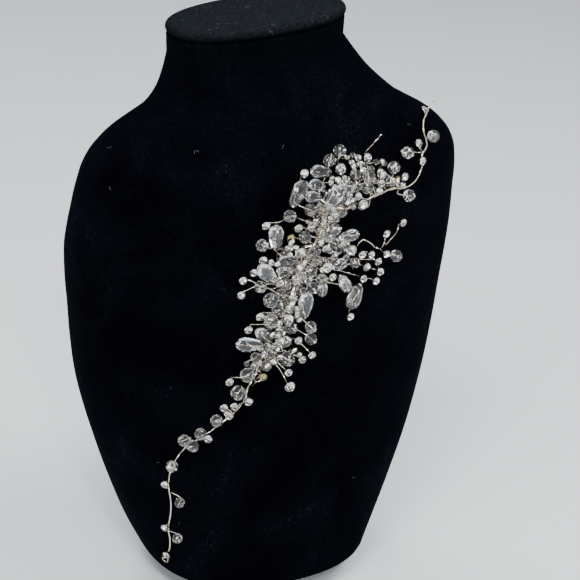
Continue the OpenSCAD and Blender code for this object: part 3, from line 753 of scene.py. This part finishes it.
def foil_back(name, colour):
    """Silvered lacquer on the back facets of a stone: a nearly perfect mirror behind glass."""
    material, tree = new_material(name)
    place = add_node(tree, "ShaderNodeTexCoord").outputs["Object"]
    grain = add_node(tree, "ShaderNodeTexNoise", {
        "Vector": place, "Scale": per_mm(FOIL_GRAIN), "Detail": 2, "Roughness": 0.5})
    rough = add_node(tree, "ShaderNodeMapRange", {
        "Value": grain.outputs[0], "To Min": 0.02, "To Max": 0.1})
    foil = add_node(tree, "ShaderNodeBsdfPrincipled", {
        "Base Color": linear(colour), "Metallic": 1.0, "Roughness": rough.outputs[0]})
    add_node(tree, "ShaderNodeOutputMaterial", {"Surface": foil.outputs[0]})
    return material


stone_glass = clear_glass("chaton_glass", STONE_CLEAR, 1.0)
silver_foil = foil_back("silver_foil", FOIL_SILVER)
gold_foil = foil_back("gold_foil", FOIL_GOLD)
cup_silver = plated_wire("silver_plated_cup", CUP_SILVER, CUP_SHADE)

bm = ground_rings(STONE_CUT, STONE_SIDES)
bmesh.ops.recalc_face_normals(bm, faces=bm.faces)
for face in bm.faces:
    face.material_index = 1 if face.calc_center_median().z < FOILED_BELOW else 0
chaton = as_mesh(bm, "chaton")

bm = bmesh.new()
line = [bm.verts.new((out, 0, up)) for out, up in CUP_WALL]
edges = [bm.edges.new(pair) for pair in zip(line, line[1:])]
bmesh.ops.spin(bm, geom=line + edges, cent=(0, 0, 0), axis=(0, 0, 1), angle=2 * math.pi, steps=CUP_SIDES,
               use_merge=True)
bmesh.ops.remove_doubles(bm, verts=bm.verts, dist=CUP_WELD)
for v in bm.verts:
    if v.co.z > CUP_RIM and round(math.atan2(v.co.y, v.co.x) / (2 * math.pi / CUP_SIDES)) % 2:
        v.co.z += NOTCH_RISE
        v.co.x *= NOTCH_IN
        v.co.y *= NOTCH_IN
bmesh.ops.recalc_face_normals(bm, faces=bm.faces)
cup_form = as_mesh(bm, "cup_form")


def cup_place(part):
    """Middle of a cup's base, the way it faces, its radius and its height."""
    middle = sum((v.co for v in part), Vector()) / len(part)
    narrow = spread_about(middle, [(1, v.co) for v in part]).inverted()
    out = away(middle)
    for _ in range(FACING_STEPS):
        out = (narrow @ out).normalized()
    if out.dot(away(middle)) < 0:
        out = -out
    places = [(v.co - middle).dot(out) for v in part]
    radius = max(((v.co - middle) - out * (v.co - middle).dot(out)).length for v in part)
    return middle + out * min(places), out, radius, max(places) - min(places)


def set_stone(cups, stones, base, out, radius, height, turn, gold=False):
    """Adds a cup and the stone in it, with a silver or a gold foil."""
    side = SPIN_WAY.cross(out).normalized()
    place = axes_matrix(Matrix.Rotation(turn, 3, out) @ side, out, base)
    set_copy(cups, cup_form, place @ Matrix.Diagonal((radius, radius, height, 1)))
    count = len(stones.faces)
    seat = place @ Matrix.Translation((0, 0, height * STONE_SEAT))
    set_copy(stones, chaton, seat @ Matrix.Scale(radius * STONE_FILLS, 4))
    stones.faces.ensure_lookup_table()
    for face in stones.faces[count:]:
        if gold and face.material_index:
            face.material_index = 2


gold_places = [beside(share, aside * MM, 0)[0] for share, aside in GOLD_BACKED]
for spray in SPRAYS:
    source = welded(spray + "_cups")
    cups, stones = bmesh.new(), bmesh.new()
    for k, part in enumerate(loose_parts(source)):
        base, out, radius, height = cup_place(part)
        gold = any((base - p).length < GOLD_REACH for p in gold_places)
        set_stone(cups, stones, base, out, radius, height, STONE_TURN * k, gold)
        taken.append((base + out * height / 2, radius))
    source.free()
    shown(cups, spray + "_silver_cups", [cup_silver], [spray + "_cups"])
    shown(stones, spray + "_rhinestones", [stone_glass, silver_foil, gold_foil],
          [spray + "_stones"], smooth=False)

# Fill of the flower hearts: the smallest cup stones and beads, each twisted on
# a stub of thin wire back to the main wire; a few have a gold foil.
FILL_SEED = 11
FILL_TRIES = 60
# Radii and heights over the velvet in mm, from and to
FILL_SIZES = {"stone": (1.45, 1.9), "gold": (1.7, 2.0), "bead": (1.3, 1.8)}
FILL_LIFT = (1.8, 7)
# Hearts: share of the main wire, mm aside, spread in mm, and how many silver
# stones, beads and gold stones
HEARTS = [
    (0.23, 4, 3, 1, 1, 1), (0.25, 14, 4, 2, 2, 0), (0.265, 10, 5, 3, 2, 0), (0.29, 19, 5, 7, 3, 0),
    (0.30, 10, 5, 6, 4, 0), (0.315, 18, 5, 5, 3, 0), (0.33, 12, 4, 3, 3, 0), (0.34, 6, 4, 4, 2, 0),
    (0.355, 8, 4, 5, 2, 0), (0.37, -1, 4, 4, 2, 0), (0.385, -11, 4, 2, 3, 0), (0.40, 14, 4, 5, 1, 0),
    (0.405, 3, 5, 3, 3, 0), (0.41, -7, 4, 5, 3, 0), (0.425, 12, 5, 2, 3, 0), (0.435, 3, 5, 3, 4, 0),
    (0.445, 8, 4, 3, 3, 1), (0.44, -4, 4, 1, 2, 1), (0.47, 5, 5, 6, 4, 0), (0.485, 0, 5, 4, 3, 0),
    (0.50, 0, 5, 5, 3, 0), (0.53, 0, 5, 5, 4, 0), (0.54, -12, 3, 1, 0, 1), (0.55, -1, 5, 5, 3, 0),
    (0.57, 2, 4, 2, 2, 0), (0.69, 5, 2, 1, 1, 0)]
# A spread of 1 mm is a thousandth of the wire along it, and half a mm aside
SPREAD_SHARE = 1000
SPREAD_ASIDE = 0.5
# Fill beads may press this far into each other's room, and tilt this much
FILL_NEAR = 0.94
FILL_TILT = 0.3
# A fill cup stands this deep under its place, and is this high, in radii
FILL_DEEP = 0.5
FILL_CUP = 0.9
# Places on the wires that a stub may start from: on the main wire, on twigs,
# and the least way to the bead
WIRE_SHARES = 300
WIRE_STEP = 1 * MM
STUB_LEAST = 3.5 * MM
STUB_STRAND = 0.2 * MM
STUB_PITCH = 1.3 * MM
STUB_STEPS = 5
# A stub dips to this height over the velvet, at this share of its way
STUB_LOW = 0.9 * MM
STUB_DIP = 0.6
# Nearly a whole turn, in radians
ANY_TURN = 6


def any_way():
    """A random way, longer or shorter."""
    return Vector((dice.gauss(0, 1), dice.gauss(0, 1), dice.gauss(0, 1)))


dice = random.Random(FILL_SEED)
wire_points = [along_main(k / WIRE_SHARES)[0] for k in range(WIRE_SHARES)]
wire_points += [p for spray in SPRAYS for line in twig_lines[spray] for p in curve_through(line, WIRE_STEP)]
cups, stones, beads, stubs = bmesh.new(), bmesh.new(), bmesh.new(), []
for share, aside, spread, *counts in HEARTS:
    for kind in [k for k, count in zip(("stone", "bead", "gold"), counts) for _ in range(count)]:
        radius = dice.uniform(*FILL_SIZES[kind]) * MM
        for _ in range(FILL_TRIES):
            at = share + dice.gauss(0, spread / SPREAD_SHARE)
            off = aside + dice.gauss(0, spread * SPREAD_ASIDE)
            place, out = beside(at, off * MM, dice.uniform(*FILL_LIFT) * MM)
            if all((place - c).length > (r + radius) * FILL_NEAR for c, r in taken):
                break
        else:
            continue
        taken.append((place, radius))
        face = (out + FILL_TILT * any_way()).normalized()
        root = min((p for p in wire_points if (p - place).length > STUB_LEAST),
                   key=lambda p: (p - place).length_squared)
        foot, up = velvet_face.find_nearest(root.lerp(place, STUB_DIP))[:2]
        dip = root.lerp(foot + up * STUB_LOW, 0.5)
        hold = place - face * radius * FILL_DEEP
        stubs += strands_of([root, dip, hold], STUB_STRAND, STUB_PITCH, STUB_PITCH / STUB_STEPS,
                            dice.random() * ANY_TURN)
        if kind == "bead":
            set_copy(beads, round_cut, axes_matrix((place - root).normalized(), face, place, radius))
        else:
            set_stone(cups, stones, hold, face, radius, radius * FILL_CUP, dice.random() * ANY_TURN,
                      kind == "gold")
shown(cups, "fill_silver_cups", [cup_silver])
shown(stones, "fill_rhinestones", [stone_glass, silver_foil, gold_foil], smooth=False)
shown(beads, "fill_round_crystals", [crystal_glass], smooth=False)
shown(drawn_wires(stubs, STUB_STRAND, THIN_SIDES), "fill_twisted_stubs", [silver_wire])

# Binding: each twig is wound a few turns round the main wire at its root, and
# loose ends of the thin wire wander along it between the flowers.
BIND_THICK = 0.22 * MM
BIND_TURNS = 4
BIND_STEPS = 8
BIND_PITCH = 0.34 * MM
BIND_RADIUS = 0.48 * MM
FINE_STEP = 0.1 * MM
# The small loop: share of the main wire, way aside and height
LOOP_PLACE = (0.605, -2.4 * MM, 1.4 * MM)
LOOP_RADIUS = 1.15 * MM
LOOP_STEPS = 16
LOOSE_STEP = 0.009
LOOSE_FINE = 0.5 * MM
# How low a loose wire may lie, as a share of how high it may
LOOSE_LOW = 0.3
# Loose wires: first and last share of the main wire, mm aside at each end,
# how far they wander and how high they may lie, in mm
LOOSE_RUNS = [
    (0.22, 0.33, 1, 1, 1.4, 2), (0.25, 0.36, 2, 0, 3, 3), (0.28, 0.41, 0, 0, 1.8, 3),
    (0.32, 0.44, 0, 0, 3, 4), (0.35, 0.47, 0, 0, 2.2, 3), (0.38, 0.52, 0, 0, 1.6, 3),
    (0.40, 0.50, 0, 0, 3.5, 4), (0.44, 0.57, 0, 0, 2, 3), (0.46, 0.60, 0, 0, 3, 4),
    (0.50, 0.62, 0, 0, 1.5, 2), (0.62, 0.70, 0, 0, 0.9, 2), (0.24, 0.32, 8, 17, 2, 8),
    (0.27, 0.33, 17, 9, 2, 9), (0.26, 0.35, 13, 5, 2.5, 8), (0.30, 0.36, 4, 12, 2, 8),
    (0.34, 0.41, 10, 2, 2.5, 8), (0.39, 0.46, 11, 1, 2.5, 8), (0.43, 0.50, -2, 6, 2.5, 8),
    (0.49, 0.56, 3, -3, 2.5, 8), (0.53, 0.59, -4, 3, 2, 7)]

fine_main = curve_through(main_line, FINE_STEP)
fine_ways = carried_frames(fine_main)
windings = []
roots = [min((line[0], line[-1]), key=lambda p: min((p - q).length for q in main_line))
          for spray in SPRAYS for line in twig_lines[spray]]
for root in roots:
    nearest = min(range(len(fine_main)), key=lambda i: (fine_main[i] - root).length_squared)
    winding = []
    for k in range(BIND_TURNS * BIND_STEPS + 1):
        along = (k / BIND_STEPS - BIND_TURNS / 2) * BIND_PITCH / FINE_STEP
        i = min(max(int(nearest + along), 0), len(fine_main) - 2)
        point = fine_main[i].lerp(fine_main[i + 1], (nearest + along) % 1)
        u, w = fine_ways[i]
        turn = 2 * math.pi * k / BIND_STEPS
        winding.append(point + BIND_RADIUS * (math.cos(turn) * u + math.sin(turn) * w))
    windings.append(winding)
loop_middle, loop_out = beside(*LOOP_PLACE)
loop_way = along_main(LOOP_PLACE[0])[1]
windings.append([
    loop_middle + Matrix.Rotation(2 * math.pi * k / LOOP_STEPS, 3, loop_out) @ loop_way * LOOP_RADIUS
    for k in range(LOOP_STEPS + 2)])
shown(drawn_wires(windings, BIND_THICK, THIN_SIDES), "binding_windings", [silver_wire])

loose = []
for first, last, start_aside, end_aside, wander, highest in LOOSE_RUNS:
    count = round((last - first) / LOOSE_STEP)
    points = []
    for k in range(count + 1):
        aside = start_aside + (end_aside - start_aside) * k / count + dice.gauss(0, wander)
        lift = dice.uniform(LOOSE_LOW, 1) * highest
        points.append(beside(first + (last - first) * k / count, aside * MM, lift * MM)[0])
    loose.append(curve_through(points, LOOSE_FINE))
shown(drawn_wires(loose, BIND_THICK, THIN_SIDES), "loose_binding_wires", [silver_wire])

# Lint: a few pale fibres that cling to the pile, as they do to any black velvet
# that stands in a room. They lie flat and curl a little.
LINT_COUNT = 30
LINT_THICK = 0.09 * MM
LINT_PALE = "#616368"
LINT_STEP = 0.5 * MM
LINT_STEPS = (3, 7)
LINT_CURL = 0.35
LINT_LIFT = 0.1 * MM
# Where a fibre falls from: out from the middle, and the heights
LINT_OUT = 0.12
LINT_HEIGHTS = (0.04, 0.3)

lint_fibre = velvet("cotton_lint", LINT_PALE, LINT_PALE)
hairs = []
for _ in range(LINT_COUNT):
    turn = dice.uniform(-math.pi, math.pi)
    start = Vector((LINT_OUT * math.sin(turn), -LINT_OUT * math.cos(turn), dice.uniform(*LINT_HEIGHTS)))
    hair = [velvet_face.find_nearest(start)[0]]
    way = any_way().normalized()
    curl = dice.gauss(0, LINT_CURL)
    for _ in range(dice.randint(*LINT_STEPS)):
        foot, out = velvet_face.find_nearest(hair[-1] + way * LINT_STEP)[:2]
        hair.append(foot + out * LINT_LIFT)
        way = Matrix.Rotation(curl, 3, out) @ (way - out * way.dot(out)).normalized()
    hairs.append(hair)
shown(drawn_wires(hairs, LINT_THICK, THIN_SIDES), "lint_fibres", [lint_fibre])

# Floor, light and camera: a plain pale table, soft light from six panels, a
# small lamp and a bright room, and the camera where the photograph was taken.
FLOOR_COLOUR = "#c3c5c7"
FLOOR_REACH = 6
MOTTLE_SIZE = 60
ROOM_COLOUR = "#d5dbe3"
# How bright the room is: in glass and metal, on matt surfaces, and as the backdrop
ROOM_IN_GLASS = 0.2
ROOM_ON_MATT = 0.8
ROOM_SEEN = 1.1
TARGET = Vector((21.3, 0, 149.9)) * MM
DISTANCE = 900 * MM
AZIMUTH = math.radians(-26)
ELEVATION = math.radians(24.78)
ROLL = math.radians(2.29)
FOCAL_PX = 1751
FRAME_PX = 580
SENSOR_MM = 36
LIT_POINT = Vector((0, 0, 0.15))
# Lights: place, width and height in metres, and watts
LIGHTS = {
    "ceiling_left": ((-0.55, -0.75, 1.35), (0.45, 0.45), 24),
    "ceiling_right": ((0.6, -0.5, 1.3), (0.4, 0.4), 18),
    "ceiling_back": ((-0.1, 0.9, 1.2), (0.7, 0.3), 12),
    "left_window": ((-1.3, -0.5, 0.5), (0.3, 0.7), 13),
    "right_window": ((1.35, -0.4, 0.55), (0.25, 0.7), 10),
    "low_front": ((0.35, -1.5, 0.35), (0.5, 0.2), 6),
    "lamp": ((-0.35, -1.1, 1.0), (0.09, 0.09), 7)}

table, tree = new_material("matt_white_table")
place = add_node(tree, "ShaderNodeTexCoord").outputs["Object"]
mottle = add_node(tree, "ShaderNodeTexNoise", {"Vector": place, "Scale": per_mm(MOTTLE_SIZE), "Detail": 4})
rough = add_node(tree, "ShaderNodeMapRange", {"Value": mottle.outputs[0], "To Min": 0.55, "To Max": 0.7})
paint = add_node(tree, "ShaderNodeBsdfPrincipled", {
    "Base Color": linear(FLOOR_COLOUR), "Roughness": rough.outputs[0]})
add_node(tree, "ShaderNodeOutputMaterial", {"Surface": paint.outputs[0]})
bm = bmesh.new()
bmesh.ops.create_grid(bm, x_segments=4, y_segments=4, size=FLOOR_REACH)
floor = put_in("floor", as_mesh(bm, "floor"))
floor.data.materials.append(table)

world = bpy.data.worlds.new("bright_room")
world.use_nodes = True
bpy.context.scene.world = world
world.node_tree.nodes.clear()
ray = add_node(world.node_tree, "ShaderNodeLightPath")
on_matt = add_node(world.node_tree, "ShaderNodeMapRange", {
    "Value": ray.outputs["Is Diffuse Ray"], "To Min": ROOM_IN_GLASS, "To Max": ROOM_ON_MATT})
strength = add_node(world.node_tree, "ShaderNodeMath", {
    0: ray.outputs["Is Camera Ray"], 1: ROOM_SEEN, 2: on_matt.outputs[0]}, operation="MULTIPLY_ADD")
sky = add_node(world.node_tree, "ShaderNodeBackground", {
    "Color": linear(ROOM_COLOUR), "Strength": strength.outputs[0]})
add_node(world.node_tree, "ShaderNodeOutputWorld", {"Surface": sky.outputs[0]})

for name, (place, size, power) in LIGHTS.items():
    light = bpy.data.lights.new(name, "AREA")
    light.shape = "RECTANGLE"
    light.size, light.size_y = size
    light.energy = power
    lamp = put_in(name, light)
    lamp.location = place
    lamp.rotation_euler = (LIT_POINT - lamp.location).to_track_quat("-Z", "Y").to_euler()

level_back = Vector((math.sin(AZIMUTH), -math.cos(AZIMUTH), 0)) * math.cos(ELEVATION)
back = level_back + Vector((0, 0, math.sin(ELEVATION)))
right = Vector((math.cos(AZIMUTH), math.sin(AZIMUTH), 0))
up = back.cross(right)
across = right * math.cos(ROLL) + up * math.sin(ROLL)
upright = back.cross(across)
view = bpy.data.cameras.new("camera")
view.sensor_fit = "HORIZONTAL"
view.sensor_width = SENSOR_MM
view.lens = FOCAL_PX / FRAME_PX * SENSOR_MM
view.clip_start, view.clip_end = 0.05, 20
camera = put_in("camera", view)
turned = Matrix((across, upright, back)).transposed().to_4x4()
camera.matrix_world = Matrix.Translation(TARGET + DISTANCE * back) @ turned
bpy.context.scene.camera = camera
